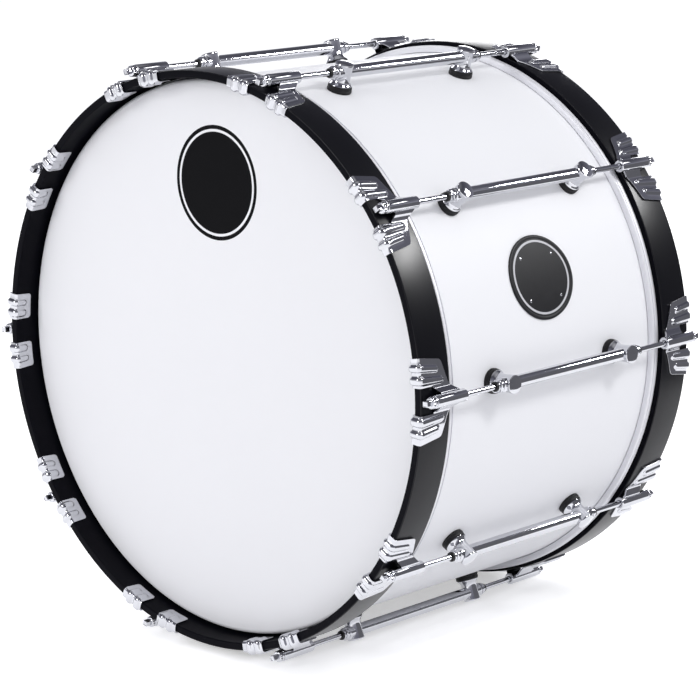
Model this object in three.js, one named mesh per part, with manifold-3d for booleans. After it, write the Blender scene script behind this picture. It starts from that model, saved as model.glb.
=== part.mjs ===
// Marching bass drum, 22 in by 14 in, standing on the floor on its two lowest lugs.
// Millimetres, +Z up. The drum's axis is Y and its front head faces -Y.
// The origin is on the floor, under the middle of the drum.

import * as THREE from 'three';
import { mergeVertices } from 'three/addons/utils/BufferGeometryUtils.js';
import Module from 'manifold-3d';

const wasm = await Module();
wasm.setup();

// Running and seating gaps
const seatGap = 0.3;
const clawGap = 0.3;
const cutOverrun = 4;

// Shell
const shellLength = 355.6;
const shellOuterRadius = 278;
const shellThickness = 7;
const bearingChamfer = 2.2;

// Heads: film, shoulder and the bead that the film ends in
const headRecess = 26;
const filmThickness = 0.5;
const collarGap = 0.6;
const shoulderRadius = 3;
const beadGap = 0.3;

// Flesh hoops: aluminium channels that hold the heads' beads
const channelGap = 0.5;
const channelSection = 7;
const channelWall = 1;
const channelDepth = 11.7;

// Counterhoops of bent wood
const hoopClearance = 3.5;
const hoopThickness = 8;
const hoopWidth = 39.5;
const hoopEdge = 2;

// Lugs: a tube on two turned posts, each post on a rubber gasket
const lugCount = 10;
const rodStandoff = 8.5;
const lugSpacing = 180.5;
const tubeRadius = 6.3;
const tubeBore = 3.9;
const ferruleRadius = 7.2;
const ferruleReach = 19;
const gasketRadius = 12.4;
const gasketHeight = 6.2;
const postNeckRadius = 8.7;
const postNeckRise = 4;
const postRadius = 9.2;
const postCrown = 10;

// Tension rods with a square key head and a collar
const rodRadius = 2.9;
const rodEngagement = 15;
const keySize = 6.2;
const keyLength = 6.6;
const collarRadius = 5.8;
const collarLength = 5.5;

// Double claws: a boss for the rod, and two hooked wings with pressed ribs
const clawSheet = 2;
const clawBend = 2.6;
const clawInsideGap = 1;
const clawInsideDepth = 18;
const clawInsideCorner = 3;
const wingInner = 13;
const wingOuter = 41;
const wingRearOuter = 36.6;
const wingSide = 25.5;
const wingCorner = 28.4;
const wingCornerCut = 2.2;
const webFront = 15;
const webNotch = 20;
const webRear = 37;
const webShoulder = 45.5;
const webTongue = 48.5;
const bossSetback = 8.2;
const bossLength = 42.8;
const bossRadius = 6.2;
const bossBore = 3.9;
const gussetWidth = 8.5;
const ribHeight = 1.2;
const innerRib = { frontPlace: 19.3, rearPlace: 17.8, length: 30, width: 7 };
const outerRib = { frontPlace: 30.9, rearPlace: 28, length: 23.5, width: 6 };

// Badge plate on the shell, oval and bare
const badgeAngle = 18;
const badgeHeight = 84;
const badgeWidth = 92;
const badgeThickness = 1.4;

// Places worked out from the sizes above
const headBuild = filmThickness + seatGap;
const overallLength = shellLength + 2 * (headRecess + headBuild);
const frontEdge = -overallLength / 2;
const headFace = frontEdge + headRecess;
const hoopInnerRadius = shellOuterRadius + hoopClearance;
const hoopOuterRadius = hoopInnerRadius + hoopThickness;
const rodCircleRadius = hoopOuterRadius + rodStandoff;
const channelInnerRadius = shellOuterRadius + channelGap;
const channelOuterRadius = channelInnerRadius + channelSection;
const channelFront = frontEdge + hoopWidth + seatGap;
const channelRear = channelFront + channelDepth;
const lugAngle = 2 * Math.PI / lugCount;

// Sides of the round pieces. Each big ring has a flat in line with each lug.
const shellFacets = 4 * lugCount;
const hoopFacets = 5 * lugCount;
const hoopFacetAngle = 2 * Math.PI / hoopFacets;
const rodSides = 6;
const boreSides = 6;
const tubeSides = 8;

// Finishes
function finish(color, roughness, metalness) {
  return new THREE.MeshStandardMaterial({ color, roughness, metalness });
}

const whiteLacquer = finish(0xf2f3f6, 0.2, 0);
const blackLacquer = finish(0x141416, 0.25, 0);
const whiteFilm = finish(0xf4f4f8, 0.45, 0);
const aluminium = finish(0xc4c6ca, 0.35, 1);
const chrome = finish(0xd6d8dc, 0.12, 1);
const badgeBlack = finish(0x1c1c20, 0.3, 0);

// A closed three.js geometry as a solid that can be joined and cut
function toSolid(geometry) {
  const bare = geometry.clone();
  bare.deleteAttribute('normal');
  bare.deleteAttribute('uv');
  const merged = mergeVertices(bare);
  const vertProperties = new Float32Array(merged.attributes.position.array);
  const triVerts = new Uint32Array(merged.index.array);
  return new wasm.Manifold(new wasm.Mesh({ numProp: 3, vertProperties, triVerts }));
}

function toGeometry(solid) {
  const { numProp, vertProperties, triVerts } = solid.getMesh();
  const geometry = new THREE.BufferGeometry();
  geometry.setAttribute('position', new THREE.BufferAttribute(vertProperties, numProp));
  geometry.setIndex(new THREE.BufferAttribute(triVerts, 1));
  geometry.computeVertexNormals();
  return geometry;
}

// From the middle of a round piece to the middle of one of its flats
function apothem(radius, facets) {
  return radius * Math.cos(Math.PI / facets);
}

// A ring or disc about the drum's axis, with a flat facet at each lug.
// The profile runs round the section as [radius, place along the axis].
function revolve(profile, facets) {
  const points = profile.map(([radius, along]) => new THREE.Vector2(radius, along));
  return new THREE.LatheGeometry(points, facets, Math.PI / 2 - Math.PI / facets);
}

// A round piece along Y, turned so that its first side is square to X
function turned(profile, sides) {
  const points = profile.map(([radius, along]) => new THREE.Vector2(radius, along));
  return new THREE.LatheGeometry(points, sides, Math.PI / sides);
}

// A plate whose outline lies in the skin of the drum at the lug, as [across, along], between two radii
function radialPrism(outline, innerRadius, outerRadius) {
  const shape = new THREE.Shape(outline.map(([across, along]) => new THREE.Vector2(-across, along)));
  const depth = outerRadius - innerRadius;
  const geometry = new THREE.ExtrudeGeometry(shape, { depth, bevelEnabled: false });
  const rightward = new THREE.Vector3(0, 0, -1);
  const forward = new THREE.Vector3(0, 1, 0);
  const outward = new THREE.Vector3(1, 0, 0);
  geometry.applyMatrix4(new THREE.Matrix4().makeBasis(rightward, forward, outward));
  geometry.translate(innerRadius, 0, 0);
  return geometry;
}

function shellGeometry() {
  const outer = shellOuterRadius;
  const inner = shellOuterRadius - shellThickness;
  const crest = shellOuterRadius - bearingChamfer;
  const bevel = crest - inner;
  const end = shellLength / 2;
  return revolve([
    [inner, -end + bevel],
    [crest, -end],
    [outer, -end + bearingChamfer],
    [outer, end - bearingChamfer],
    [crest, end],
    [inner, end - bevel],
    [inner, -end + bevel],
  ], shellFacets);
}

function hoopGeometry() {
  const front = frontEdge;
  const rear = frontEdge + hoopWidth;
  return revolve([
    [hoopInnerRadius, front + hoopEdge],
    [hoopInnerRadius + hoopEdge, front],
    [hoopOuterRadius - hoopEdge, front],
    [hoopOuterRadius, front + hoopEdge],
    [hoopOuterRadius, rear - hoopEdge],
    [hoopOuterRadius - hoopEdge, rear],
    [hoopInnerRadius, rear],
    [hoopInnerRadius, front + hoopEdge],
  ], hoopFacets);
}

// The film's flat, its shoulder over the bearing edge, the flared collar and the bead
function headGeometry() {
  const collarInside = shellOuterRadius + collarGap;
  const collarOutside = collarInside + filmThickness;
  const flatRadius = collarOutside - shoulderRadius;
  const inside = headFace + filmThickness;
  const shoulderEnd = headFace + shoulderRadius;
  const diagonal = Math.SQRT1_2;
  const beadInside = channelInnerRadius + channelWall + beadGap;
  const beadOutside = channelOuterRadius - channelWall - beadGap;
  const beadFront = channelFront + beadGap;
  const beadRear = channelRear - channelWall - beadGap;
  return revolve([
    [0, headFace],
    [flatRadius, headFace],
    [flatRadius + shoulderRadius * diagonal, shoulderEnd - shoulderRadius * diagonal],
    [collarOutside, shoulderEnd],
    [beadInside + filmThickness, channelFront],
    [beadOutside, beadFront],
    [beadOutside, beadRear],
    [beadInside, beadRear],
    [beadInside, channelFront],
    [collarInside, shoulderEnd],
    [flatRadius, inside],
    [0, inside],
  ], shellFacets);
}

function fleshHoopGeometry() {
  const floor = channelRear - channelWall;
  return revolve([
    [channelInnerRadius, channelFront],
    [channelInnerRadius + channelWall, channelFront],
    [channelInnerRadius + channelWall, floor],
    [channelOuterRadius - channelWall, floor],
    [channelOuterRadius - channelWall, channelFront],
    [channelOuterRadius, channelFront],
    [channelOuterRadius, channelRear],
    [channelInnerRadius, channelRear],
    [channelInnerRadius, channelFront],
  ], shellFacets);
}

// Section of a wing: over the hoop's outside, round its front edge and down its inside
function hookSection() {
  const outer = apothem(hoopOuterRadius, hoopFacets) + clawGap;
  const inner = apothem(hoopInnerRadius, hoopFacets) - clawInsideGap;
  const face = frontEdge - clawGap;
  const skin = clawSheet;
  return [
    [inner - skin, frontEdge + clawInsideDepth],
    [inner - skin, face - skin + clawBend],
    [inner - skin + clawBend, face - skin],
    [outer + skin - clawBend, face - skin],
    [outer + skin, face - skin + clawBend],
    [outer + skin, frontEdge + webRear],
    [outer, frontEdge + webRear],
    [outer, face],
    [inner, face],
    [inner, frontEdge + clawInsideDepth],
  ];
}

// Section of a rib pressed out of a wing's outside, from its front bend to a sloped rear end
function ribSection(rear) {
  const sheet = apothem(hoopOuterRadius, hoopFacets) + clawGap + clawSheet / 2;
  const outer = sheet + clawSheet / 2 + ribHeight;
  const bend = frontEdge - clawGap - clawSheet + clawBend;
  return [
    [sheet, frontEdge + rear],
    [sheet, bend],
    [outer, bend],
    [outer, frontEdge + rear - ribHeight],
  ];
}

// A section drawn as [radius, along] and drawn out across the drum from one place to another
function drawnAcross(section, low, high) {
  const shape = new THREE.Shape(section.map(([radius, along]) => new THREE.Vector2(radius, along)));
  const geometry = new THREE.ExtrudeGeometry(shape, { depth: high - low, bevelEnabled: false });
  geometry.translate(0, 0, low);
  return geometry;
}

// Where a line at a distance from the lug's plane meets the flat beside the lug's own
function acrossFlat(distance) {
  const reach = apothem(hoopOuterRadius, hoopFacets);
  return reach * Math.tan(Math.atan2(distance, reach) - hoopFacetAngle);
}

// Outline of a wing over the hoop: it narrows to the rear, where its corner is cut and its edge slants
function wingOutline(low, high) {
  const front = -clawGap - clawSheet - ribHeight - cutOverrun;
  const rearHigh = acrossFlat(wingRearOuter);
  return [
    [low, front],
    [high, front],
    [rearHigh, wingSide],
    [rearHigh - wingCornerCut, wingCorner],
    [low, webRear],
  ];
}

// Outline of a rib, which leans towards the boss on its way to the rear
function ribOutline(rib) {
  const front = acrossFlat(rib.frontPlace);
  const rear = acrossFlat(rib.rearPlace);
  const half = rib.width / 2;
  return [
    [front - half, 0],
    [front + half, 0],
    [rear + half, rib.length],
    [rear - half, rib.length],
  ];
}

// Outline of the flange that a wing has down the hoop's inside
function flangeOutline(low, high) {
  const front = -clawGap - clawSheet - ribHeight - cutOverrun;
  return [
    [low, front],
    [high, front],
    [high, clawInsideDepth - clawInsideCorner],
    [high - clawInsideCorner, clawInsideDepth],
    [low + clawInsideCorner, clawInsideDepth],
    [low, clawInsideDepth - clawInsideCorner],
  ];
}

// One wing, on the flat of the hoop beside the lug, on the side of the lug that is given
function wingSolid(side) {
  const low = acrossFlat(wingInner);
  const high = acrossFlat(wingOuter);
  const middle = hoopInnerRadius + hoopThickness / 2;
  const bottom = hoopInnerRadius - clawInsideGap - clawSheet - cutOverrun;
  const placed = (outline) => outline.map(([across, along]) => [side * across, frontEdge + along]);
  const over = radialPrism(placed(wingOutline(low, high)), middle, rodCircleRadius);
  const inside = radialPrism(placed(flangeOutline(low, high)), bottom, middle);
  const [left, right] = side > 0 ? [low, high] : [-high, -low];
  const hook = toSolid(drawnAcross(hookSection(), left, right));
  let wing = hook.intersect(toSolid(over).add(toSolid(inside)));
  for (const rib of [innerRib, outerRib]) {
    const strip = toSolid(radialPrism(placed(ribOutline(rib)), middle, rodCircleRadius));
    wing = wing.add(toSolid(drawnAcross(ribSection(rib.length), left, right)).intersect(strip));
  }
  return wing.rotate([0, -side * THREE.MathUtils.radToDeg(hoopFacetAngle), 0]);
}

// One claw at the lug on the +X side
function clawGeometry() {
  const sheet = apothem(hoopOuterRadius, hoopFacets) + clawGap;
  const half = gussetWidth / 2;
  const joint = wingInner + clawSheet;
  const rearSlope = (webRear - wingCorner) / (wingRearOuter - wingCornerCut - wingInner);
  const right = [
    [bossRadius, webNotch],
    [joint, webFront],
    [joint, webRear - rearSlope * clawSheet],
    [bossRadius, webShoulder],
    [half, webTongue],
  ];
  const left = right.map(([across, along]) => [-across, along]).reverse();
  const webOutline = right.concat(left).map(([across, along]) => [across, frontEdge + along]);
  const web = radialPrism(webOutline, sheet, sheet + clawSheet);
  const gusset = radialPrism([
    [-half, frontEdge + webNotch],
    [half, frontEdge + webNotch],
    [half, frontEdge + webTongue],
    [-half, frontEdge + webTongue],
  ], sheet + clawSheet / 2, rodCircleRadius);
  const bossFront = frontEdge + bossSetback;
  const bossRear = bossFront + bossLength;
  const boss = turned([[0, bossFront], [bossRadius, bossFront], [bossRadius, bossRear], [0, bossRear]], tubeSides);
  boss.translate(rodCircleRadius, 0, 0);
  const drillFront = bossFront - cutOverrun;
  const drillRear = bossRear + cutOverrun;
  const drill = turned([[0, drillFront], [bossBore, drillFront], [bossBore, drillRear], [0, drillRear]], boreSides);
  drill.translate(rodCircleRadius, 0, 0);
  const wings = wingSolid(1).add(wingSolid(-1));
  return toGeometry(wings.add(toSolid(web)).add(toSolid(gusset)).add(toSolid(boss)).subtract(toSolid(drill)));
}

// One tension rod on its own axis: key head, collar on the claw's boss, and shank into the lug
function rodGeometry() {
  const collarRear = frontEdge + bossSetback - seatGap;
  const collarFront = collarRear - collarLength;
  const keyFront = collarFront - keyLength;
  const shankEnd = -lugSpacing / 2 + rodEngagement;
  const key = new THREE.BoxGeometry(keySize, keyLength, keySize);
  key.translate(0, keyFront + keyLength / 2, 0);
  const collar = turned([
    [0, collarFront],
    [collarRadius, collarFront],
    [collarRadius, collarRear],
    [0, collarRear],
  ], rodSides);
  const shank = turned([
    [0, collarFront],
    [rodRadius, collarFront],
    [rodRadius, shankEnd],
    [0, shankEnd],
  ], rodSides);
  return toGeometry(toSolid(collar).add(toSolid(key)).add(toSolid(shank)));
}

// A post of the lug: gasket, neck and body, standing out from the shell
function postGeometry() {
  const seat = apothem(shellOuterRadius, shellFacets) + seatGap;
  const flange = seat + gasketHeight;
  const crown = rodCircleRadius + postCrown;
  const post = turned([
    [0, seat],
    [gasketRadius, seat],
    [gasketRadius, flange],
    [postNeckRadius, flange + postNeckRise],
    [postRadius, crown],
    [0, crown],
  ], tubeSides);
  post.rotateZ(-Math.PI / 2);
  return post;
}

// One lug on the +X side: two posts, and the tube with a ferrule at each end
function lugGeometry() {
  const postPlace = lugSpacing / 2;
  const tubeEnd = postPlace + ferruleReach;
  const tube = turned([
    [0, -tubeEnd],
    [ferruleRadius, -tubeEnd],
    [ferruleRadius, -postPlace],
    [tubeRadius, -postPlace],
    [tubeRadius, postPlace],
    [ferruleRadius, postPlace],
    [ferruleRadius, tubeEnd],
    [0, tubeEnd],
  ], tubeSides);
  tube.translate(rodCircleRadius, 0, 0);
  const drillEnd = tubeEnd + cutOverrun;
  const drill = turned([[0, -drillEnd], [tubeBore, -drillEnd], [tubeBore, drillEnd], [0, drillEnd]], boreSides);
  drill.translate(rodCircleRadius, 0, 0);
  let lug = toSolid(tube);
  for (const side of [1, -1]) {
    const post = postGeometry();
    post.translate(0, side * postPlace, 0);
    lug = lug.add(toSolid(post));
  }
  return toGeometry(lug.subtract(toSolid(drill)));
}

// The plate follows the shell's skin, cut from a ring by an oval
function badgeGeometry() {
  const seat = shellOuterRadius + seatGap;
  const half = badgeWidth / 2 + cutOverrun;
  const ring = revolve([
    [seat, -half],
    [seat + badgeThickness, -half],
    [seat + badgeThickness, half],
    [seat, half],
    [seat, -half],
  ], shellFacets);
  const oval = new THREE.EllipseCurve(0, 0, badgeHeight / 2, badgeWidth / 2);
  const ovalSides = 24;
  const outline = oval.getPoints(ovalSides).slice(0, ovalSides).map((point) => [point.x, point.y]);
  const cutter = radialPrism(outline, shellOuterRadius - hoopThickness, rodCircleRadius);
  cutter.rotateY(-THREE.MathUtils.degToRad(badgeAngle));
  return toGeometry(toSolid(ring).intersect(toSolid(cutter)));
}

function piece(name, geometry, material) {
  const mesh = new THREE.Mesh(geometry, material);
  mesh.name = name;
  return mesh;
}

function numbered(name, index) {
  return `${name}_${String(index + 1).padStart(2, '0')}`;
}

// One end of the drum as it comes off: head, flesh hoop, counterhoop, claws and rods.
// The rear end is the same set turned half round about Z, which mirrors the lug angles.
function drumEnd(side, claw, rod) {
  const end = new THREE.Group();
  const turn = side === 'rear' ? Math.PI : 0;
  end.rotation.z = turn;
  end.add(piece(`${side}_head`, headGeometry(), whiteFilm));
  end.add(piece(`${side}_flesh_hoop`, fleshHoopGeometry(), aluminium));
  end.add(piece(`${side}_hoop`, hoopGeometry(), blackLacquer));
  for (let index = 0; index < lugCount; index += 1) {
    const angle = index * lugAngle;
    const station = new THREE.Group();
    station.rotation.y = turn === 0 ? -angle : angle - Math.PI;
    station.add(piece(numbered(`claw_${side}`, index), claw, chrome));
    const rodMesh = piece(numbered(`rod_${side}`, index), rod, chrome);
    rodMesh.position.x = rodCircleRadius;
    station.add(rodMesh);
    end.add(station);
  }
  return end;
}

const drum = new THREE.Group();
drum.add(piece('shell', shellGeometry(), whiteLacquer));
drum.add(piece('badge_plate', badgeGeometry(), badgeBlack));
const lug = lugGeometry();
for (let index = 0; index < lugCount; index += 1) {
  const lugMesh = piece(numbered('tube_lug', index), lug, chrome);
  lugMesh.rotation.y = -index * lugAngle;
  drum.add(lugMesh);
}
const claw = clawGeometry();
const rod = rodGeometry();
drum.add(drumEnd('front', claw, rod));
drum.add(drumEnd('rear', claw, rod));

// The drum stands on the crowns of its two lowest lugs
drum.updateMatrixWorld(true);
drum.position.z = -new THREE.Box3().setFromObject(drum, true).min.z;

const part = new THREE.Group();
part.add(drum);

export default part;
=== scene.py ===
import math

import bmesh
import bpy
import numpy as np
from mathutils import Matrix, Vector


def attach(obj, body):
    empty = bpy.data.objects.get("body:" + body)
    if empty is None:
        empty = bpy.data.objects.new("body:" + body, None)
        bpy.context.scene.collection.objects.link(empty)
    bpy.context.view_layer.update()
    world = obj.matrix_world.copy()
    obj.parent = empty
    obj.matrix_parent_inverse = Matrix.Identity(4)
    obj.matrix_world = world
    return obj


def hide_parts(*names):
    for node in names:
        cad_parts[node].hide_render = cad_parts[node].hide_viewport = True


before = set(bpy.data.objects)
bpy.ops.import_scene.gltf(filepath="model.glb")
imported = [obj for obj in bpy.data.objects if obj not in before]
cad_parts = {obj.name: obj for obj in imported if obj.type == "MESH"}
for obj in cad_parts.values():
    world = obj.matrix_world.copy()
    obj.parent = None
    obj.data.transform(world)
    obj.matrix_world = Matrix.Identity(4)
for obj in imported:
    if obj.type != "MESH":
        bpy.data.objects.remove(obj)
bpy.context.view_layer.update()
print("frame loaded")

mm = 0.001
weld = 0.002 * mm  # points closer than this become one
sliver = 0.001 * mm  # edges shorter than this dissolve

# Sizes are in millimetres. Places along the drum count from the front hoop's front edge on the claws,
# rods and lugs, and from the drum's middle on the other pieces.
drum = {
    "axisHeight": 295.552,
    "lugs": 10,
    "halfLength": 204.6,
    "rodCircle": 298.0,
    "postPlace": 114.35,
}
frontEdge = -drum["halfLength"]

# The camera stands at the photograph's viewpoint
cameraLook = {
    "place": (1.92558, -2.03232, 0.83463),
    "right": (0.72997, 0.68320, -0.01948),
    "up": (-0.11960, 0.15574, 0.98053),
    "back": (0.67294, -0.71343, 0.19539),
    "lens": 141.06,
    "sensor": 36.0,
    "farClip": 200.0,
}


def newObject(name, data):
    made = bpy.data.objects.new(name, data)
    bpy.context.scene.collection.objects.link(made)
    return made


def addCamera():
    lens = bpy.data.cameras.new("photoCamera")
    lens.lens = cameraLook["lens"]
    lens.sensor_width = cameraLook["sensor"]
    lens.clip_end = cameraLook["farClip"]
    camera = newObject("photoCamera", lens)
    columns = [Vector(cameraLook[key]).normalized() for key in ("right", "up", "back")]
    turn = Matrix(columns).transposed().to_4x4()
    camera.matrix_world = Matrix.Translation(cameraLook["place"]) @ turn
    bpy.context.scene.camera = camera


addCamera()
print("camera placed")


# Node maths: a wire is one output socket, and Python's operators add Math nodes
class Wire:
    def __init__(self, bench, socket):
        self.bench = bench
        self.socket = socket

    def math(self, operation, *others):
        return self.bench.add("ShaderNodeMath", {"operation": operation}, dict(enumerate((self,) + others)))

    def __add__(self, other):
        return self.math("ADD", other)

    def __radd__(self, other):
        return self.math("ADD", other)

    def __sub__(self, other):
        return self.math("SUBTRACT", other)

    def __rsub__(self, other):
        return self.bench.add("ShaderNodeMath", {"operation": "SUBTRACT"}, {0: other, 1: self})

    def __mul__(self, other):
        return self.math("MULTIPLY", other)

    def __rmul__(self, other):
        return self.math("MULTIPLY", other)

    def __truediv__(self, other):
        return self.math("DIVIDE", other)

    def __gt__(self, other):
        return self.math("GREATER_THAN", other)

    def __lt__(self, other):
        return self.math("LESS_THAN", other)


# A bench builds one node tree, for a finish, the world or geometry
class Bench:
    def __init__(self, tree):
        self.tree = tree
        tree.nodes.clear()

    def add(self, kind, settings=None, values=None, output=0):
        node = self.tree.nodes.new(kind)
        for key, value in (settings or {}).items():
            if key == "stops":
                ramp = node.color_ramp
                while len(ramp.elements) < len(value):
                    ramp.elements.new(0.5)
                for element, (place, colour) in zip(ramp.elements, value):
                    element.position = place
                    element.color = (*colour, 1)
            else:
                setattr(node, key, value)
        for key, value in (values or {}).items():
            if isinstance(value, Wire):
                self.tree.links.new(value.socket, node.inputs[key])
            else:
                node.inputs[key].default_value = value
        return Wire(self, node.outputs[output] if len(node.outputs) else None)

    def apart(self, wire):
        split = self.add("ShaderNodeSeparateXYZ", None, {0: wire})
        return [Wire(self, socket) for socket in split.socket.node.outputs]

    def together(self, x=0.0, y=0.0, z=0.0):
        return self.add("ShaderNodeCombineXYZ", None, {0: x, 1: y, 2: z})

    def mix(self, factor, first, second):
        values = {0: factor}
        for key, colour in ((6, first), (7, second)):  # the node's colour inputs
            values[key] = colour if isinstance(colour, Wire) else (*colour, 1)
        return self.add("ShaderNodeMix", {"data_type": "RGBA"}, values, 2)

    def noise(self, place, scale, detail, rough=0.5):
        values = {"Vector": place, "Scale": scale, "Detail": detail, "Roughness": rough}
        return self.add("ShaderNodeTexNoise", None, values)

    def bump(self, height, depth, strength=1.0):
        values = {"Height": height, "Distance": depth * mm, "Strength": strength}
        return self.add("ShaderNodeBump", None, values)

    # 1 where the camera looks, straight or by way of gloss or glass, and 0 for light that falls on things
    def seen(self):
        rays = self.add("ShaderNodeLightPath").socket.node.outputs
        direct = Wire(self, rays["Is Camera Ray"]) + Wire(self, rays["Is Glossy Ray"])
        return direct + Wire(self, rays["Is Transmission Ray"])


socketNames = {
    "colour": "Base Color",
    "rough": "Roughness",
    "metal": "Metallic",
    "normal": "Normal",
    "coat": "Coat Weight",
    "coatRough": "Coat Roughness",
    "ior": "IOR",
    "level": "Specular IOR Level",
    "coatIor": "Coat IOR",
}


def newMaterial(name):
    material = bpy.data.materials.new(name)
    material.use_nodes = True
    return material


class Finish(Bench):
    def __init__(self, name):
        self.material = newMaterial(name)
        super().__init__(self.material.node_tree)
        self.place = self.add("ShaderNodeTexCoord", output=3)  # Object coordinates

    def mottle(self, settings):
        return self.noise(self.place, *settings)

    # Noise drawn out into rings round the drum's axis, and the distance from that axis
    def rings(self, settings):
        x, y, z = self.apart(self.place)
        height = z - drum["axisHeight"] * mm
        angle = height.math("ARCTAN2", x)
        radius = (x * x + height * height).math("SQRT")
        fine = settings["fine"]
        run = self.together(angle * settings["around"], y * fine, radius * fine)
        return self.noise(run, 1.0, settings["detail"], settings["rough"]), radius

    def close(self, **values):
        inputs = {socketNames[key]: value for key, value in values.items()}
        surface = self.add("ShaderNodeBsdfPrincipled", None, inputs)
        self.add("ShaderNodeOutputMaterial", None, {"Surface": surface})
        return self.material


# Looks: a noise is its scale, its detail and sometimes its roughness, depths are in millimetres,
# and the fixed values are the same all over the surface
shellLook = {
    "tones": ((0.875, 0.877, 0.90), (0.85, 0.853, 0.88)),
    "cloud": (5.0, 3.0),
    "haze": (60.0, 3.0),
    "rough": 0.42,
    "roughSpread": 0.07,
    "peel": (420.0, 1.0),
    "peelDepth": 0.02,
    "fixed": {"level": 0.12},
}


def shellLacquer():
    look = shellLook
    finish = Finish("whiteLacquer")
    return finish.close(
        colour=finish.mix(finish.mottle(look["cloud"]), *look["tones"]),
        rough=look["rough"] + finish.mottle(look["haze"]) * look["roughSpread"],
        normal=finish.bump(finish.mottle(look["peel"]), look["peelDepth"]),
        **look["fixed"],
    )


headLook = {
    "tones": ((0.85, 0.85, 0.872), (0.82, 0.82, 0.845)),
    "cloud": (3.5, 3.0),
    "grain": (900.0, 2.0),
    "grainDepth": 0.035,
    "rough": 0.42,
    "roughSpread": 0.12,
    "ink": (0.006, 0.006, 0.007),
    "printCentre": (1.5, 177.0),
    "printHalf": (56.0, 57.0),
    "lineFrom": 0.885,
    "lineTo": 0.93,
    "fixed": {"ior": 1.36, "level": 0.05},
}


# White film, with a plain oval printed on the front head
def headFilm():
    look = headLook
    finish = Finish("coatedFilm")
    x, y, z = finish.apart(finish.place)
    across = (x - look["printCentre"][0] * mm) / (look["printHalf"][0] * mm)
    upward = z - (drum["axisHeight"] + look["printCentre"][1]) * mm
    upward = upward / (look["printHalf"][1] * mm)
    reach = (across * across + upward * upward).math("SQRT")
    inside = (reach < 1.0) * (y < 0.0)
    line = (reach > look["lineFrom"]) * (reach < look["lineTo"])
    film = finish.mix(finish.mottle(look["cloud"]), *look["tones"])
    grain = finish.mottle(look["grain"])
    return finish.close(
        colour=finish.mix(inside * (1.0 - line), film, look["ink"]),
        rough=look["rough"] + grain * look["roughSpread"],
        normal=finish.bump(grain, look["grainDepth"]),
        **look["fixed"],
    )


hoopLook = {
    "tones": ((0.002, 0.002, 0.004), (0.004, 0.004, 0.0065)),
    "rings": {"around": 9.0, "fine": 420.0, "detail": 4.0, "rough": 0.6},
    "ringDepth": 0.03,
    "ringStrength": 0.5,
    "haze": (35.0, 3.0),
    "rough": 0.29,
    "roughSpread": 0.06,
    "polishedFrom": 288.5,
    "faceCoat": 0.22,
    "coatSpread": 0.06,
    "fixed": {"level": 0.0, "coatRough": 0.29, "coatIor": 1.32},
}


# Black lacquer, polished on the hoop's outside and duller on its faces
def hoopLacquer():
    look = hoopLook
    finish = Finish("blackLacquer")
    grain, radius = finish.rings(look["rings"])
    haze = finish.mottle(look["haze"])
    polish = look["faceCoat"] + (radius > look["polishedFrom"] * mm) * (1.0 - look["faceCoat"])
    return finish.close(
        colour=finish.mix(grain, *look["tones"]),
        rough=look["rough"] + haze * look["roughSpread"],
        normal=finish.bump(grain, look["ringDepth"], look["ringStrength"]),
        coat=polish * (1.0 - look["coatSpread"] + haze * look["coatSpread"]),
        **look["fixed"],
    )


channelLook = {
    "tones": ((0.83, 0.83, 0.86), (0.76, 0.76, 0.80)),
    "rings": {"around": 6.0, "fine": 3000.0, "detail": 3.0, "rough": 0.5},
    "ringDepth": 0.02,
    "rough": 0.42,
    "roughSpread": 0.16,
    "fixed": {"metal": 0.3},
}


def turnedAluminium():
    look = channelLook
    finish = Finish("turnedAluminium")
    lines, radius = finish.rings(look["rings"])
    return finish.close(
        colour=finish.mix(lines, *look["tones"]),
        rough=look["rough"] + lines * look["roughSpread"],
        normal=finish.bump(lines, look["ringDepth"]),
        **look["fixed"],
    )


chromeLook = {
    "tones": ((0.66, 0.665, 0.695), (0.56, 0.565, 0.60)),
    "smudge": (70.0, 4.0, 0.6),
    "rough": 0.03,
    "roughSpread": 0.05,
    "fine": (900.0, 2.0),
    "fineDepth": 0.006,
    "fixed": {"metal": 1.0},
}


def chromePlate(name, wear=1.0):
    look = chromeLook
    finish = Finish(name)
    smudge = finish.mottle(look["smudge"])
    return finish.close(
        colour=finish.mix(smudge, *look["tones"]),
        rough=look["rough"] + smudge * (look["roughSpread"] * wear),
        normal=finish.bump(finish.mottle(look["fine"]), look["fineDepth"]),
        **look["fixed"],
    )


# Finishes whose one grain varies tone, roughness and surface alike
grainLooks = {
    "blackRubber": {
        "tones": ((0.006, 0.006, 0.007), (0.014, 0.014, 0.016)),
        "grain": (700.0, 3.0),
        "depth": 0.05,
        "rough": 0.42,
        "roughSpread": 0.2,
        "fixed": {"level": 0.25},
    },
    "blackNylon": {
        "tones": ((0.008, 0.008, 0.009), (0.016, 0.016, 0.017)),
        "grain": (500.0, 2.0),
        "depth": 0.03,
        "rough": 0.30,
        "roughSpread": 0.15,
        "fixed": {"level": 0.35},
    },
    "blackEnamel": {
        "tones": ((0.009, 0.009, 0.011), (0.016, 0.016, 0.019)),
        "grain": (120.0, 3.0),
        "depth": 0.02,
        "rough": 0.44,
        "roughSpread": 0.12,
        "fixed": {"level": 0.3, "ior": 1.40},
    },
}
grainLooks["whiteEnamel"] = {**grainLooks["blackEnamel"], "tones": ((0.60, 0.60, 0.63), (0.50, 0.50, 0.53))}


def grained(name):
    look = grainLooks[name]
    finish = Finish(name)
    grain = finish.mottle(look["grain"])
    return finish.close(
        colour=finish.mix(grain, *look["tones"]),
        rough=look["rough"] + grain * look["roughSpread"],
        normal=finish.bump(grain, look["depth"]),
        **look["fixed"],
    )


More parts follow.
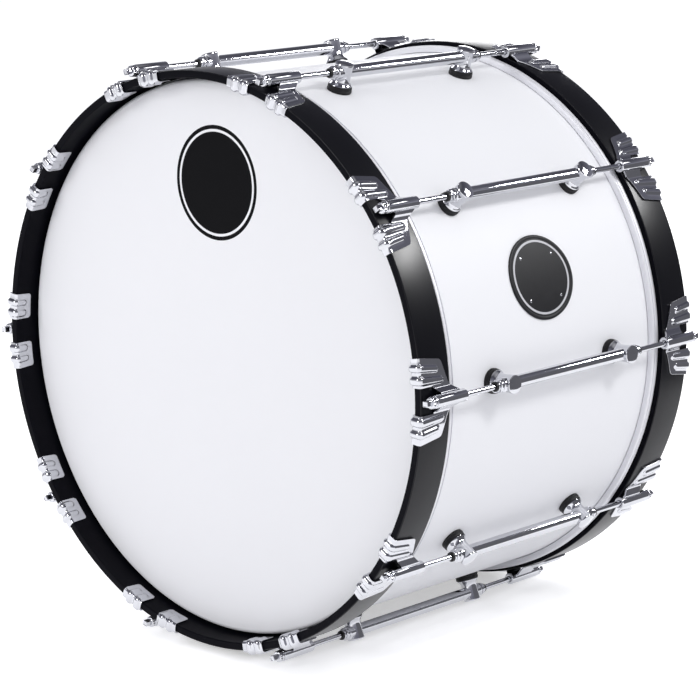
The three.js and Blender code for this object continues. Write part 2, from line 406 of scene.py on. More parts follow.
finishes = {
    "shell": shellLacquer(),
    "head": headFilm(),
    "hoop": hoopLacquer(),
    "channel": turnedAluminium(),
    "chrome": chromePlate("chrome"),
    "rodSteel": chromePlate("rodChrome", wear=0.6),
    "rubber": grained("blackRubber"),
    "nylon": grained("blackNylon"),
    "badge": grained("blackEnamel"),
    "line": grained("whiteEnamel"),
    "trim": chromePlate("badgeTrim", wear=1.6),
}
print("finishes mixed")


# Rounds an outline's corners, each given as (radius, along, rounding)
def fillet(corners, steps):
    rounded = []
    for index, (x, y, rounding) in enumerate(corners):
        here = np.array((x, y), float)
        if rounding == 0:
            rounded.append(tuple(here))
            continue
        before = np.array(corners[index - 1][:2], float) - here
        after = np.array(corners[(index + 1) % len(corners)][:2], float) - here
        before /= np.linalg.norm(before)
        after /= np.linalg.norm(after)
        half = math.acos(np.clip(before @ after, -1, 1)) / 2
        reach = rounding / math.tan(half)
        middle = (before + after) / np.linalg.norm(before + after) * rounding / math.sin(half) + here
        start = here + before * reach - middle
        end = here + after * reach - middle
        turn = math.acos(np.clip(start @ end / rounding ** 2, -1, 1))
        for step in range(steps + 1):
            share = step / steps
            weights = math.sin((1 - share) * turn), math.sin(share * turn)
            rounded.append(tuple(middle + (start * weights[0] + end * weights[1]) / math.sin(turn)))
    return rounded


class Shape:
    def __init__(self):
        self.points = np.zeros((0, 3))
        self.faces = []

    def add(self, points, faces, turn=None, shift=(0, 0, 0)):
        moved = np.array(points, float)
        if turn is not None:
            moved = moved @ np.array(turn, float).T
        base = len(self.points)
        self.points = np.vstack([self.points, moved + np.array(shift, float)])
        self.faces += [[base + corner for corner in face] for face in faces]

    def mirrored(self):
        other = Shape()
        other.points = self.points * np.array([1, -1, 1])
        other.faces = [list(reversed(face)) for face in self.faces]
        return other

    def asObject(self, name):
        mesh = bpy.data.meshes.new(name)
        mesh.from_pydata((self.points * mm).tolist(), [], self.faces)
        return newObject(name, mesh)


# One row of points round the Y axis
def ringPoints(radii, along, angles):
    return np.c_[radii * np.cos(angles), np.full(len(angles), along), radii * np.sin(angles)]


# Faces between rows of points: from end to end with two caps, or closed to a ring
def ringFaces(rows, sides, closed=False):
    faces = []
    for row in range(rows if closed else rows - 1):
        here = row * sides
        after = (row + 1) % rows * sides
        for side in range(sides):
            beside = (side + 1) % sides
            faces.append([here + side, after + side, after + beside, here + beside])
    if not closed:
        faces.append(list(range(sides)))
        faces.append(list(reversed(range((rows - 1) * sides, rows * sides))))
    return faces


# A turned shape about the Y axis, from (radius, along) points
def turned(profile, sides, closed=False, knurl=None):
    angles = np.arange(sides) * 2 * math.pi / sides
    points = []
    for radius, along in profile:
        radii = np.full(sides, float(radius))
        if knurl and knurl["from"] < along < knurl["to"]:
            radii = radii + knurl["depth"] * np.cos(knurl["count"] * angles)
        points.append(ringPoints(radii, along, angles))
    return np.vstack(points), ringFaces(len(profile), sides, closed)


def cleaned(mesh, merged):
    work = bmesh.new()
    work.from_mesh(mesh)
    if merged:
        bmesh.ops.remove_doubles(work, verts=work.verts, dist=weld)
        bmesh.ops.dissolve_degenerate(work, edges=work.edges, dist=sliver)
    bmesh.ops.recalc_face_normals(work, faces=work.faces)
    work.to_mesh(mesh)
    work.free()


def tidied(piece, finish, sharp=35):
    mesh = piece.data
    cleaned(mesh, merged=True)
    mesh.materials.clear()
    mesh.materials.append(finish)
    mesh.shade_smooth()
    mesh.set_sharp_from_angle(angle=math.radians(sharp))
    return piece


# Takes a source's evaluated mesh and drops the source with its modifiers
def evaluated(source):
    bpy.context.view_layer.update()
    graph = bpy.context.evaluated_depsgraph_get()
    mesh = bpy.data.meshes.new_from_object(source.evaluated_get(graph))
    model = source.data
    bpy.data.objects.remove(source)
    bpy.data.meshes.remove(model)
    return mesh


def finished(name, source, finish, sharp=35):
    mesh = evaluated(source)
    mesh.name = name
    return tidied(newObject(name, mesh), finish, sharp)


# Node trees: inputs are named sizes, and each tree ends in Realize Instances and Set Material
def newTree(name, inputs):
    tree = bpy.data.node_groups.new(name, "GeometryNodeTree")
    tree.interface.new_socket("Geometry", in_out="INPUT", socket_type="NodeSocketGeometry")
    for label, kind, value in inputs:
        socket = tree.interface.new_socket(label, in_out="INPUT", socket_type=kind)
        if value is not None:
            socket.default_value = value
    tree.interface.new_socket("Geometry", in_out="OUTPUT", socket_type="NodeSocketGeometry")
    bench = Bench(tree)
    given = bench.add("NodeGroupInput").socket.node
    wires = {socket.name: Wire(bench, socket) for socket in given.outputs if socket.name}
    return tree, bench, wires


def closeTree(bench, geometry, material):
    real = bench.add("GeometryNodeRealizeInstances", None, {"Geometry": geometry})
    dressed = bench.add("GeometryNodeSetMaterial", None, {"Geometry": real, "Material": material})
    bench.add("NodeGroupOutput", None, {"Geometry": dressed})


# A grid whose rows are a section's corners, bent round the drum's axis and welded at its seam
def spunSectionTree():
    tree, bench, given = newTree("spunSection", [
        ("Steps Round", "NodeSocketInt", 360),
        ("Axis Height", "NodeSocketFloat", drum["axisHeight"] * mm),
        ("Material", "NodeSocketMaterial", None),
    ])
    section = given["Geometry"]
    count = bench.add("GeometryNodeAttributeDomainSize", {"component": "MESH"}, {"Geometry": section})
    grid = bench.add("GeometryNodeMeshGrid", None, {
        "Size X": 1.0,
        "Size Y": 1.0,
        "Vertices X": given["Steps Round"] + 1,
        "Vertices Y": count + 1,
    })
    gridX, gridY = bench.apart(bench.add("GeometryNodeInputPosition"))[:2]
    angle = (gridX + 0.5) * (2 * math.pi)
    corner = ((gridY + 0.5) * count).math("ROUND").math("MODULO", count)
    sample = bench.add("GeometryNodeSampleIndex", {"data_type": "FLOAT_VECTOR", "domain": "POINT"}, {
        "Geometry": section,
        "Value": bench.add("GeometryNodeInputPosition"),
        "Index": corner,
    })
    radius, along = bench.apart(sample)[:2]
    where = bench.together(
        radius * angle.math("COSINE"),
        along,
        radius * angle.math("SINE") + given["Axis Height"],
    )
    bent = bench.add("GeometryNodeSetPosition", None, {"Geometry": grid, "Position": where})
    merged = bench.add("GeometryNodeMergeByDistance", None, {"Geometry": bent, "Distance": weld})
    closeTree(bench, merged, given["Material"])
    return tree


# Copies of what the object holds, turned round the drum's axis from lug to lug
def lugStationsTree():
    tree, bench, given = newTree("lugStations", [
        ("Stations", "NodeSocketInt", drum["lugs"]),
        ("First Station", "NodeSocketInt", 0),
        ("Stations Round", "NodeSocketInt", drum["lugs"]),
        ("Axis Height", "NodeSocketFloat", drum["axisHeight"] * mm),
        ("Material", "NodeSocketMaterial", None),
    ])
    axis = bench.together(z=given["Axis Height"])
    points = bench.add("GeometryNodePoints", None, {"Count": given["Stations"], "Position": axis})
    index = bench.add("GeometryNodeInputIndex")
    angle = (index + given["First Station"]) / given["Stations Round"] * (-2 * math.pi)
    copies = bench.add("GeometryNodeInstanceOnPoints", None, {
        "Points": points,
        "Instance": given["Geometry"],
        "Rotation": bench.together(y=angle),
    })
    closeTree(bench, copies, given["Material"])
    return tree


trees = {"spunSection": spunSectionTree(), "lugStations": lugStationsTree()}


def runTree(source, treeName, values):
    tree = trees[treeName]
    modifier = source.modifiers.new(treeName, "NODES")
    modifier.node_group = tree
    for item in tree.interface.items_tree:
        if item.in_out == "INPUT" and item.name in values:
            modifier[item.identifier] = values[item.name]


def spun(name, section, finish, steps):
    count = len(section)
    mesh = bpy.data.meshes.new(name + "Section")
    points = [(radius * mm, along * mm, 0) for radius, along in section]
    mesh.from_pydata(points, [(index, (index + 1) % count) for index in range(count)], [])
    source = newObject(name + "Section", mesh)
    runTree(source, "spunSection", {"Steps Round": steps, "Material": finish})
    return finished(name, source, finish)


def stationed(name, shape, finish, stations=drum["lugs"], first=0, sharp=35):
    source = shape.asObject(name + "Model")
    values = {"Stations": stations, "First Station": first, "Material": finish}
    runTree(source, "lugStations", values)
    return finished(name, source, finish, sharp)


def placed(piece, body, nodes=()):
    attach(piece, body)
    if nodes:
        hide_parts(*nodes)


# Sections are drawn for the front end, and the rear end mirrors them
def sided(section, side):
    return section if side == "front" else [(radius, -along) for radius, along in reversed(section)]


def numbered(kind):
    return [f"{kind}_{index + 1:02d}" for index in range(drum["lugs"])]


# Shell: a wooden tube with rounded bearing edges
shellSizes = {
    "outer": 278.0,
    "inner": 271.0,
    "crest": 275.8,
    "halfLength": 177.8,
    "edgeRound": 1.2,
    "edgeSteps": 4,
    "stepsAlong": 12,
    "stepsRound": 360,
}


def makeShell():
    sizes = shellSizes
    end = sizes["halfLength"]
    slope = sizes["crest"] - sizes["inner"]
    corner = sizes["outer"] - sizes["crest"]
    section = fillet([
        (sizes["inner"], -end + slope, 0),
        (sizes["crest"], -end, sizes["edgeRound"]),
        (sizes["outer"], -end + corner, sizes["edgeRound"]),
        (sizes["outer"], end - corner, sizes["edgeRound"]),
        (sizes["crest"], end, sizes["edgeRound"]),
        (sizes["inner"], end - slope, 0),
    ], sizes["edgeSteps"])
    steps = sizes["stepsAlong"]
    spaced = []
    for index, point in enumerate(section):
        spaced.append(point)
        after = section[(index + 1) % len(section)]
        if abs(after[1] - point[1]) > end:
            for share in [step / steps for step in range(1, steps)]:
                spaced.append(tuple(np.array(point) * (1 - share) + np.array(after) * share))
    shell = spun("woodenShell", spaced, finishes["shell"], sizes["stepsRound"])
    placed(shell, "drum_shell", ["shell"])


# Heads: film, shoulder, collar and the bead that sits in the flesh hoop
headSizes = {
    "face": 178.6,
    "film": 0.5,
    "flat": 274.4,
    "collar": 278.6,
    "beadInside": 279.9,
    "beadOutside": 282.0,
    "beadFront": 163.4,
    "beadRear": 154.6,
    "beadRound": 1.2,
    "beadSteps": 3,
    "bendSteps": 6,
    "rings": 14,
    "ringsBehind": 5,
    "stepsRound": 288,
}


def headSection():
    sizes = headSizes
    face = sizes["face"]
    film = sizes["film"]
    flat = sizes["flat"]
    outer = sizes["collar"] + film - flat
    inner = outer - film
    turns = [step / sizes["bendSteps"] * math.pi / 2 for step in range(sizes["bendSteps"] + 1)]
    section = [(flat * ring / sizes["rings"], -face) for ring in range(sizes["rings"])]
    for turn in turns:
        section.append((flat + outer * math.sin(turn), -face + outer * (1 - math.cos(turn))))
    section += fillet([
        (sizes["beadOutside"], -sizes["beadFront"], sizes["beadRound"]),
        (sizes["beadOutside"], -sizes["beadRear"], sizes["beadRound"]),
        (sizes["beadInside"], -sizes["beadRear"], sizes["beadRound"]),
        (sizes["beadInside"], -sizes["beadFront"], 0),
    ], sizes["beadSteps"])
    for turn in reversed(turns):
        section.append((flat + inner * math.sin(turn), -face + film + inner * (1 - math.cos(turn))))
    for ring in reversed(range(sizes["ringsBehind"])):
        section.append((flat * ring / sizes["ringsBehind"], -face + film))
    return section


# Flesh hoops: aluminium channels with rolled lips and a groove round the flange
channelSizes = {
    "inner": 278.5,
    "neck": 283.2,
    "outer": 285.5,
    "front": 163.8,
    "flange": 159.6,
    "rear": 153.1,
    "wall": 1.0,
    "grooveFrom": 156.3,
    "grooveTo": 155.0,
    "grooveDeep": 1.3,
    "grooveSlant": 0.1,
    "lipRound": 0.3,
    "neckRound": 0.4,
    "flangeRound": 0.9,
    "grooveRound": 0.15,
    "outerRound": 1.8,
    "innerRound": 0.8,
    "roundSteps": 4,
    "stepsRound": 288,
}


def channelSection():
    sizes = channelSizes
    wall = sizes["wall"]
    lip = sizes["lipRound"]
    slant = sizes["grooveSlant"]
    return fillet([
        (sizes["inner"], -sizes["front"], lip),
        (sizes["inner"] + wall, -sizes["front"], lip),
        (sizes["inner"] + wall, -sizes["rear"] - wall, 0),
        (sizes["neck"] - wall, -sizes["rear"] - wall, 0),
        (sizes["neck"] - wall, -sizes["front"], lip),
        (sizes["neck"], -sizes["front"], lip),
        (sizes["neck"], -sizes["flange"], sizes["neckRound"]),
        (sizes["outer"], -sizes["flange"], sizes["flangeRound"]),
        (sizes["outer"], -sizes["grooveFrom"], sizes["grooveRound"]),
        (sizes["outer"] - sizes["grooveDeep"], -sizes["grooveFrom"] + slant, 0),
        (sizes["outer"] - sizes["grooveDeep"], -sizes["grooveTo"] - slant, 0),
        (sizes["outer"], -sizes["grooveTo"], sizes["grooveRound"]),
        (sizes["outer"], -sizes["rear"], sizes["outerRound"]),
        (sizes["inner"], -sizes["rear"], sizes["innerRound"]),
    ], sizes["roundSteps"])


# Counterhoops: bent wood with softened edges
hoopSizes = {
    "inner": 281.5,
    "outer": 289.5,
    "width": 40.4,
    "frontRound": 1.2,
    "rearRound": 0.8,
    "roundSteps": 6,
    "stepsRound": 360,
}


def hoopSection():
    sizes = hoopSizes
    rear = frontEdge + sizes["width"]
    return fillet([
        (sizes["inner"], frontEdge, sizes["frontRound"]),
        (sizes["outer"], frontEdge, sizes["frontRound"]),
        (sizes["outer"], rear, sizes["rearRound"]),
        (sizes["inner"], rear, sizes["rearRound"]),
    ], sizes["roundSteps"])


# Double claws: one pressed sheet over the hoop with a boss for the rod. Across is measured round the hoop
# from the lug's plane, and length along the sheet's outside from the end of its inner flange.
clawSizes = {
    "sheet": 1.8,
    "clear": 0.2,
    "inside": 18.0,
    "insideCorner": 3.0,
    "cornerReach": 5.0,
    "bend": 3.0,
    "wingInner": 13.0,
    "wingOuter": 39.5,
    "webFront": 15.0,
    "notch": 20.0,
    "flareFront": 1.6,
    "flareRear": -2.9,
    "flareLength": 28.0,
    "flareInside": 0.4,
    "saddleFrom": 12.2,
    "saddleTo": 5.4,
    "saddleTop": 297.6,
    "rimRound": 0.55,
    "rimSteps": 2,
    "rimAngle": 62,
    "bossRadius": 6.2,
    "bossBore": 3.3,
    "bossFront": 8.2,
    "bossRear": 51.0,
    "bossFrontRound": 0.6,
    "bossRearRound": 1.2,
    "boreRound": 0.3,
    "bossSteps": 3,
    "bossSides": 36,
    "sharpAngle": 50,
}

# The sheet's rear edge as (across, along), from the tongue under the boss to the rounded corner
clawRearEdge = [
    (0.0, 49.0), (3.0, 48.9), (4.2, 48.2), (6.2, 45.6), (8.3, 42.6), (10.4, 39.8), (12.2, 37.7),
    (16.0, 35.6), (24.2, 33.0), (33.7, 30.0), (37.2, 28.6), (38.3, 27.8), (39.1, 26.6), (39.5, 25.0),
]

# Pressed ribs: each one's middle and half width across the claw, the width of its sloping walls, its height,
# and the places along the drum where it ends on the inner flange and at the rear
clawRibs = [
    {"middle": 19.0, "half": 4.5, "wall": 2.7, "height": 2.1, "inside": 12.3, "rear": 30.0},
    {"middle": 30.0, "half": 4.0, "wall": 2.5, "height": 2.1, "inside": 12.3, "rear": 23.5},
]

# The sheet's grid: columns across the web, a wing and each rib (as shares of its half width), and rows
# along the inner flange, the two bends with the face between them, the outside and the rear part
clawGrid = {
    "web": [0, 1.8, 3.0, 4.2, 5.4, 6.2, 7.2, 8.3, 9.4, 10.4, 11.3, 12.2],
    "wing": 4,
    "rib": [0, 0.3, 0.56, 0.72, 0.86, 1],
    "flange": [0, 1.2, 2.6, 3.6, 4.6, 5.6, 6.6, 7.6, 8.6, 10, 13, 16],
    "bends": 15,
    "outside": 7,
    "rear": 20,
}


def smooth(value):
    value = np.clip(value, 0, 1)
    return value * value * (3 - 2 * value)


def clawRear(across):
    places, ends = zip(*clawRearEdge)
    return float(np.interp(abs(across), places, ends))


# A wing is wider at the drum's edge than at its rear
def flared(across, along):
    sizes = clawSizes
    share = (abs(across) - sizes["wingInner"]) / (sizes["wingOuter"] - sizes["wingInner"])
    if share <= 0:
        return across
    run = max(along, 0) / sizes["flareLength"]
    wider = sizes["flareFront"] + (sizes["flareRear"] - sizes["flareFront"]) * run
    return across + wider * share * (2 - share) * math.copysign(1, across)


def clawFront(across):
    sizes = clawSizes
    reach = abs(across)
    if reach >= sizes["wingInner"]:
        return sizes["webFront"]
    share = smooth((sizes["wingInner"] - reach) / (sizes["wingInner"] - sizes["bossRadius"]))
    return sizes["webFront"] + (sizes["notch"] - sizes["webFront"]) * share


# The sheet's outside seen from the side: its inner and outer radius, its face in front of the hoop,
# and the lengths of the straight flange, of one bend and of the flat between the bends
def clawRun():
    sizes = clawSizes
    inner = hoopSizes["inner"] - sizes["clear"] - sizes["sheet"]
    outer = hoopSizes["outer"] + sizes["clear"] + sizes["sheet"]
    face = -sizes["clear"] - sizes["sheet"]
    flange = sizes["inside"] - (face + sizes["bend"])
    arc = sizes["bend"] * math.pi / 2
    flat = outer - inner - 2 * sizes["bend"]
    return inner, outer, face, flange, arc, flat


def clawPath(length):
    bend = clawSizes["bend"]
    inner, outer, face, flange, arc, flat = clawRun()
    if length < flange:
        return (inner, clawSizes["inside"] - length), (-1, 0)
    if length < flange + arc:
        turn = (length - flange) / bend
        out = (-math.cos(turn), -math.sin(turn))
        return (inner + bend + bend * out[0], face + bend + bend * out[1]), out
    if length < flange + arc + flat:
        return (inner + bend + length - flange - arc, face), (0, -1)
    if length < flange + 2 * arc + flat:
        turn = (length - flange - arc - flat) / bend
        out = (math.sin(turn), -math.cos(turn))
        return (outer - bend + bend * out[0], face + bend + bend * out[1]), out
    return (outer, face + bend + length - flange - 2 * arc - flat), (1, 0)


def clawLengthAt(along):
    inner, outer, face, flange, arc, flat = clawRun()
    return flange + 2 * arc + flat + along - face - clawSizes["bend"]


def ribLift(across, length):
    lift = 0
    for rib in clawRibs:
        start = clawSizes["inside"] - rib["inside"] + rib["half"]
        end = clawLengthAt(rib["rear"]) - rib["half"]
        beyond = max(start - length, length - end, 0)
        reach = math.hypot(abs(across) - rib["middle"], beyond)
        lift = max(lift, rib["height"] * float(smooth((rib["half"] - reach) / rib["wall"])))
    return lift


# A point of the sheet's outside, or at a depth below it, where the ribs don't show
def clawPoint(across, length, depth=0.0):
    sizes = clawSizes
    (radius, along), out = clawPath(length)
    lift = -depth if depth else ribLift(across, length)
    if out[0] == 1:
        share = smooth((sizes["saddleFrom"] - abs(across)) / (sizes["saddleFrom"] - sizes["saddleTo"]))
        radius = radius + (sizes["saddleTop"] - radius) * float(share)
    across = flared(across, along if radius > hoopSizes["inner"] else along * sizes["flareInside"])
    radius += out[0] * lift
    along += out[1] * lift
    angle = across / hoopSizes["outer"]
    return (radius * math.cos(angle), frontEdge + along, radius * math.sin(angle))


def clawColumns():
    sizes = clawSizes
    wing = set(np.linspace(sizes["wingInner"], sizes["wingOuter"], clawGrid["wing"]).round(2))
    wing |= {place for place, rear in clawRearEdge if place > sizes["wingInner"]}
    for rib in clawRibs:
        for share in clawGrid["rib"]:
            wing |= {round(rib["middle"] + side * share * rib["half"], 2) for side in (-1, 1)}
    right = clawGrid["web"] + sorted(wing)
    return [-across for across in reversed(right)][:-1] + right


def clawRows():
    sizes = clawSizes
    bendStart = sizes["inside"] + sizes["clear"] + sizes["sheet"] - sizes["bend"]
    bendEnd = clawLengthAt(sizes["bend"] - sizes["clear"] - sizes["sheet"])
    bends = np.linspace(bendStart, bendEnd, clawGrid["bends"])
    outside = np.linspace(bendEnd, clawLengthAt(sizes["webFront"]), clawGrid["outside"])[1:-1]
    return clawGrid["flange"] + list(bends) + list(outside)


# A closed solid: the outer skin, the inner skin below it and the rim between them
def clawSheetShape():
    sizes = clawSizes
    columns = clawColumns()
    lengths = clawRows()
    corner = sizes["insideCorner"]
    spots = []
    index = {}
    for column, across in enumerate(columns):
        edge = min(abs(across) - sizes["wingInner"], sizes["wingOuter"] - abs(across))
        if edge >= 0:
            pulled = corner - math.sqrt(corner ** 2 - (corner - edge) ** 2) if edge < corner else 0
            for row, length in enumerate(lengths):
                index[column, row] = len(spots)
                spots.append((across, length + pulled * max(0, 1 - length / sizes["cornerReach"])))
        front = clawLengthAt(clawFront(across))
        rear = clawLengthAt(clawRear(across))
        for row in range(clawGrid["rear"] + 1):
            index[column, len(lengths) + row] = len(spots)
            spots.append((across, front + (rear - front) * row / clawGrid["rear"]))
    skin = []
    for column in range(len(columns) - 1):
        for row in range(len(lengths) + clawGrid["rear"]):
            corners = [(column, row), (column + 1, row), (column + 1, row + 1), (column, row + 1)]
            if all(spot in index for spot in corners):
                skin.append([index[spot] for spot in corners])
    count = len(spots)
    under = [[count + spot for spot in reversed(face)] for face in skin]
    sides = {(face[step - 1], face[step]) for face in skin for step in range(4)}
    rim = [[second, first, first + count, second + count] for first, second in sorted(sides)
           if (second, first) not in sides]
    points = [clawPoint(*spot) for spot in spots] + [clawPoint(*spot, sizes["sheet"]) for spot in spots]
    shape = Shape()
    shape.add(points, skin + under + rim)
    return shape


def makeClawShape():
    sizes = clawSizes
    sheet = clawSheetShape().asObject("clawSheetModel")
    cleaned(sheet.data, merged=False)
    rim = sheet.modifiers.new("rim", "BEVEL")
    rim.width = sizes["rimRound"] * mm
    rim.segments = sizes["rimSteps"]
    rim.limit_method = "ANGLE"
    rim.angle_limit = math.radians(sizes["rimAngle"])
    mesh = evaluated(sheet)
    shape = Shape()
    points = np.array([vertex.co for vertex in mesh.vertices]) / mm
    shape.add(points, [list(face.vertices) for face in mesh.polygons])
    bpy.data.meshes.remove(mesh)
    front = frontEdge + sizes["bossFront"]
    rear = frontEdge + sizes["bossRear"]
    boss = fillet([
        (sizes["bossBore"], front, sizes["boreRound"]),
        (sizes["bossRadius"], front, sizes["bossFrontRound"]),
        (sizes["bossRadius"], rear, sizes["bossRearRound"]),
        (sizes["bossBore"], rear, sizes["boreRound"]),
    ], sizes["bossSteps"])
    points, faces = turned(boss, sizes["bossSides"], closed=True)
    shape.add(points, faces, shift=(drum["rodCircle"], 0, 0))
    return shape


# Tension rods: square key head, knurled collar, washer and a threaded end
rodSizes = {
    "radius": 2.9,
    "sides": 24,
    "keyHalf": 2.85,
    "keyCorner": 0.5,
    "keyCornerSteps": 3,
    "collarSides": 72,
    "knurl": {"from": 2.9, "to": 5.2, "depth": 0.3, "count": 18},
    "shank": (5.9, 30.0, 54.0, 76.0),
    "threadStart": 97.0,
    "threadFrom": 98.0,
    "threadRunIn": 1.5,
    "threadDepth": 0.32,
    "pitch": 1.058,
    "rowsPerTurn": 4,
    "tipDepth": 0.5,
    "tipLength": 1.2,
    "end": 130.1,
}

# The key's rows as (share of its half width, place)
keyRows = [(0.62, -3.85), (0.72, -4.2), (0.84, -4.2), (0.97, -3.75), (1.0, -3.4), (1.0, 2.0), (1.0, 2.8)]

# The collar and the washer behind it as (radius, place)
collarRows = [
    (2.0, 2.4), (4.5, 2.4), (5.1, 2.65), (5.4, 3.1), (5.4, 5.0), (5.1, 5.4), (4.5, 5.6), (4.5, 5.8),
    (5.3, 5.9), (5.8, 6.4), (5.8, 7.5), (5.3, 8.0), (2.0, 8.0),
]


def rodKey():
    half = rodSizes["keyHalf"]
    corner = rodSizes["keyCorner"]
    corners = [(x * half, z * half, corner) for x, z in ((1, 1), (-1, 1), (-1, -1), (1, -1))]
    square = fillet(corners, rodSizes["keyCornerSteps"])
    points = [(x * share, along, z * share) for share, along in keyRows for x, z in square]
    return points, ringFaces(len(keyRows), len(square))


# The thread is cut along a helix, fading in from the shank and tapering at the tip
def rodShank():
    sizes = rodSizes
    radius = sizes["radius"]
    angles = np.arange(sizes["sides"]) * 2 * math.pi / sizes["sides"]
    points = [ringPoints(radius, along, angles) for along in sizes["shank"]]
    for along in np.arange(sizes["threadStart"], sizes["end"], sizes["pitch"] / sizes["rowsPerTurn"]):
        depth = sizes["threadDepth"] * smooth((along - sizes["threadFrom"]) / sizes["threadRunIn"])
        tip = (along - sizes["end"] + sizes["tipLength"]) / sizes["tipLength"]
        depth = depth + sizes["tipDepth"] * smooth(tip)
        wave = 0.5 - 0.5 * np.cos(2 * math.pi * along / sizes["pitch"] + angles)
        points.append(ringPoints(radius - depth * wave, along, angles))
    return np.vstack(points), ringFaces(len(points), sizes["sides"])


def makeRodShape():
    collar = turned(collarRows, rodSizes["collarSides"], knurl=rodSizes["knurl"])
    shape = Shape()
    for points, faces in (rodKey(), collar, rodShank()):
        shape.add(points, faces, shift=(drum["rodCircle"], frontEdge, 0))
    return shape


# Lugs: a chromed tube on two turned posts, rubber gaskets and nylon bushings
lugSizes = {
    "gasketTop": 284.3,
    "gasketSteps": 2,
    "crown": 308.0,
    "crownRadius": 9.2,
    "crownDome": 1.3,
    "postSides": 48,
    "tubeRadius": 6.3,
    "tubeFrom": 116.35,
    "tubeBore": 3.4,
    "tubeSides": 40,
    "sleeveRadius": 7.2,
    "sleeveTo": 110.35,
    "bushingFrom": 93.4,
    "bushingTo": 95.6,
    "bushingRadius": 4.8,
    "bushingBore": 3.15,
    "bushingRound": 0.8,
    "bushingEdge": 0.2,
    "bushingSteps": 3,
    "bushingSides": 36,
}

# The gasket as (radius, distance from the drum's axis, rounding)
gasketRows = [
    (0.5, 278.05, 0), (12.2, 278.05, 0.3), (12.4, 280.25, 0.4), (11.7, 281.15, 0.4), (12.2, 282.05, 0.4),
    (11.7, 284.3, 0.4), (0.5, 284.3, 0),
]

# The post as (radius, height over the gasket), and the rim of its crown as (radius, depth below the top)
postRows = [
    (4.0, -0.5), (11.0, -0.1), (11.3, 0.4), (11.1, 1.0), (10.3, 1.9), (9.3, 3.1), (8.65, 4.6), (8.4, 6.4),
    (8.4, 9.0), (8.55, 13.0), (8.8, 16.5),
]
crownRows = [(8.95, 4.2), (9.2, 2.8), (9.2, 1.9)]
domeShares = (0.96, 0.88, 0.75, 0.6, 0.45, 0.3, 0.15)  # the dome's rings, as shares of the crown's radius

# The stepped ferrule as (radius, place behind the bushing)
ferruleRows = [
    (4.9, 0.0), (5.3, 0.3), (5.4, 1.0), (5.2, 1.6), (4.7, 1.9), (4.7, 2.6), (5.8, 2.9), (6.5, 3.3),
    (6.7, 4.2), (6.5, 5.4), (5.7, 5.8), (5.7, 6.7), (6.6, 7.1), (7.1, 7.8), (7.2, 9.4),
]

onPost = [[0, 1, 0], [1, 0, 0], [0, 0, 1]]  # turns a shape about Y so that it stands along X


def lugPost():
    sizes = lugSizes
    crown = sizes["crown"]
    foot = [(radius, sizes["gasketTop"] + height) for radius, height in postRows]
    rim = [(radius, crown - depth) for radius, depth in crownRows]
    dome = [(sizes["crownRadius"] * share, crown - sizes["crownDome"] * share ** 2) for share in domeShares]
    return foot + rim + dome


def lugTube():
    sizes = lugSizes
    start = frontEdge + sizes["bushingTo"]
    outside = [(sizes["tubeBore"], start)]
    outside += [(radius, start + behind) for radius, behind in ferruleRows]
    outside.append((sizes["sleeveRadius"], frontEdge + sizes["sleeveTo"]))
    outside.append((sizes["tubeRadius"], frontEdge + sizes["tubeFrom"]))
    return outside + sided(outside, "rear")


def lugBushing(near, far):
    sizes = lugSizes
    return fillet([
        (sizes["bushingBore"], near, sizes["bushingEdge"]),
        (sizes["bushingRadius"], near, sizes["bushingRound"]),
        (sizes["bushingRadius"], far, sizes["bushingEdge"]),
        (sizes["bushingBore"], far, 0),
    ], sizes["bushingSteps"])


def makeLugs():
    sizes = lugSizes
    body = Shape()
    gaskets = Shape()
    bushings = Shape()
    onRods = (drum["rodCircle"], 0, 0)
    for side in (-1, 1):
        atPost = (0, -side * (frontEdge + drum["postPlace"]), 0)
        points, faces = turned(lugPost(), sizes["postSides"])
        body.add(points, faces, turn=onPost, shift=atPost)
        points, faces = turned(fillet(gasketRows, sizes["gasketSteps"]), sizes["postSides"])
        points = points @ np.array(onPost, float).T
        points[:, 0] -= points[:, 2] ** 2 / (2 * shellSizes["outer"])  # the gasket follows the round shell
        gaskets.add(points, faces, shift=atPost)
        near, far = (-side * (frontEdge + sizes[key]) for key in ("bushingFrom", "bushingTo"))
        points, faces = turned(lugBushing(near, far), sizes["bushingSides"], closed=True)
        bushings.add(points, faces, shift=onRods)
    points, faces = turned(lugTube(), sizes["tubeSides"], closed=True)
    body.add(points, faces, shift=onRods)
    placed(stationed("tubeLugs", body, finishes["chrome"]), "drum_shell", numbered("tube_lug"))
    placed(stationed("lugGaskets", gaskets, finishes["rubber"]), "drum_shell")
    placed(stationed("lugBushings", bushings, finishes["nylon"]), "drum_shell")


# Badge: a bare oval plate with a raised rim and four rivets, on the shell's skin
badgeSizes = {
    "angle": 18.0,
    "across": 84.0,
    "along": 92.0,
    "sides": 128,
    "seat": 278.05,
    "field": 279.15,
    "rimTop": 279.65,
    "sunk": 0.1,
    "rivetPlace": 0.50,
    "rivetRadius": 1.4,
    "rivetSides": 24,
}

# A rivet's dome as (share of its radius, height)
rivetDome = [(1.0, 0), (1.0, 0.25), (0.85, 0.5), (0.55, 0.68), (0.2, 0.75)]


def badgeTurn(across):
    return math.radians(badgeSizes["angle"]) + across / shellSizes["outer"]


def ovalPoint(share, angle, radius):
    across = share * badgeSizes["across"] / 2 * math.cos(angle)
    along = share * badgeSizes["along"] / 2 * math.sin(angle)
    turn = badgeTurn(across)
    return (radius * math.cos(turn), along, drum["axisHeight"] + radius * math.sin(turn))


# An oval from rows of (share of the badge's outline, radius)
def oval(name, rows, finish, closed=True):
    sides = badgeSizes["sides"]
    angles = [side * 2 * math.pi / sides for side in range(sides)]
    shape = Shape()
    points = [ovalPoint(share, angle, radius) for share, radius in rows for angle in angles]
    shape.add(points, ringFaces(len(rows), sides, closed))
    return tidied(shape.asObject(name), finish)


